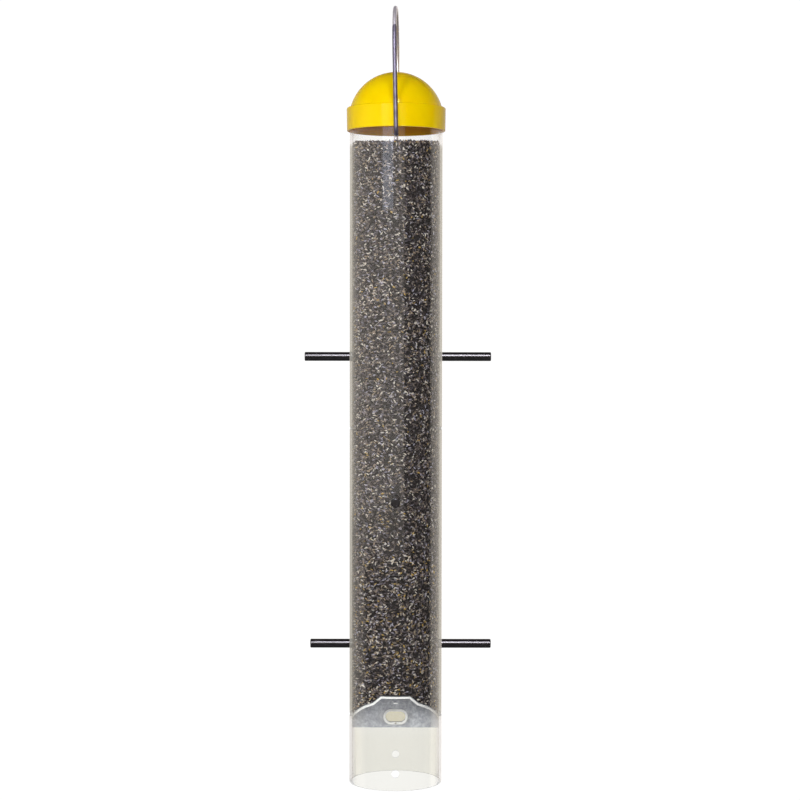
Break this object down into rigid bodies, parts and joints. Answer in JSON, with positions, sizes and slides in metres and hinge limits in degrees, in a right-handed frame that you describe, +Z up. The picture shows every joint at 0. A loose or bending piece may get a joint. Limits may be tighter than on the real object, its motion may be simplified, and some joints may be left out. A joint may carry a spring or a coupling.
{
  "type": "hanging tube bird feeder",
  "caption": "Hanging clear tube feeder for finches: domed yellow cap, wire bail, through perches set above narrow feeding slits, and an arched seed baffle near the open foot.",
  "frame": {"origin": "hook point: the underside of the bail's arch, on the tube's axis", "axes": "+Z up along the tube, X along the upper and lower perches, Y along the bail's hinge and the middle perch"},
  "size_m": [0.1433, 0.142, 0.5948],
  "materials": {
    "clear_plastic": "clear, polished",
    "yellow_plastic": "moulded, semi-gloss",
    "steel_wire": "drawn wire, dull",
    "black_plastic": "extruded, glossy",
    "frosted_plastic": "moulded, frosted",
    "seed": "dry seed husk"
  },
  "bodies": {
    "hanger": {"bail_wire": "steel_wire"},
    "feeder": {"tube": "clear_plastic", "seed_baffle": "frosted_plastic", "seed_fill": "seed"},
    "lid": {"cap": "yellow_plastic"},
    "upper_rod": {"perch_upper": "black_plastic"},
    "middle_rod": {"perch_middle": "black_plastic"},
    "lower_rod": {"perch_lower": "black_plastic"}
  },
  "joints": [
    {"name": "bail_swing", "type": "hinge", "parent": "hanger", "child": "feeder", "pos_m": [0, 0, -0.0968], "axis": [0, 1, 0], "range_deg": [-155, 155]},
    {"name": "cap_lift", "type": "slide", "parent": "feeder", "child": "lid", "axis": [0, 0, 1], "range_m": [0, 0.036]},
    {"name": "upper_perch_slide", "type": "slide", "parent": "feeder", "child": "upper_rod", "axis": [1, 0, 0], "range_m": [-0.025, 0.025]},
    {"name": "middle_perch_slide", "type": "slide", "parent": "feeder", "child": "middle_rod", "axis": [0, 1, 0], "range_m": [-0.025, 0.025]},
    {"name": "lower_perch_slide", "type": "slide", "parent": "feeder", "child": "lower_rod", "axis": [1, 0, 0], "range_m": [-0.025, 0.025]}
  ]
}
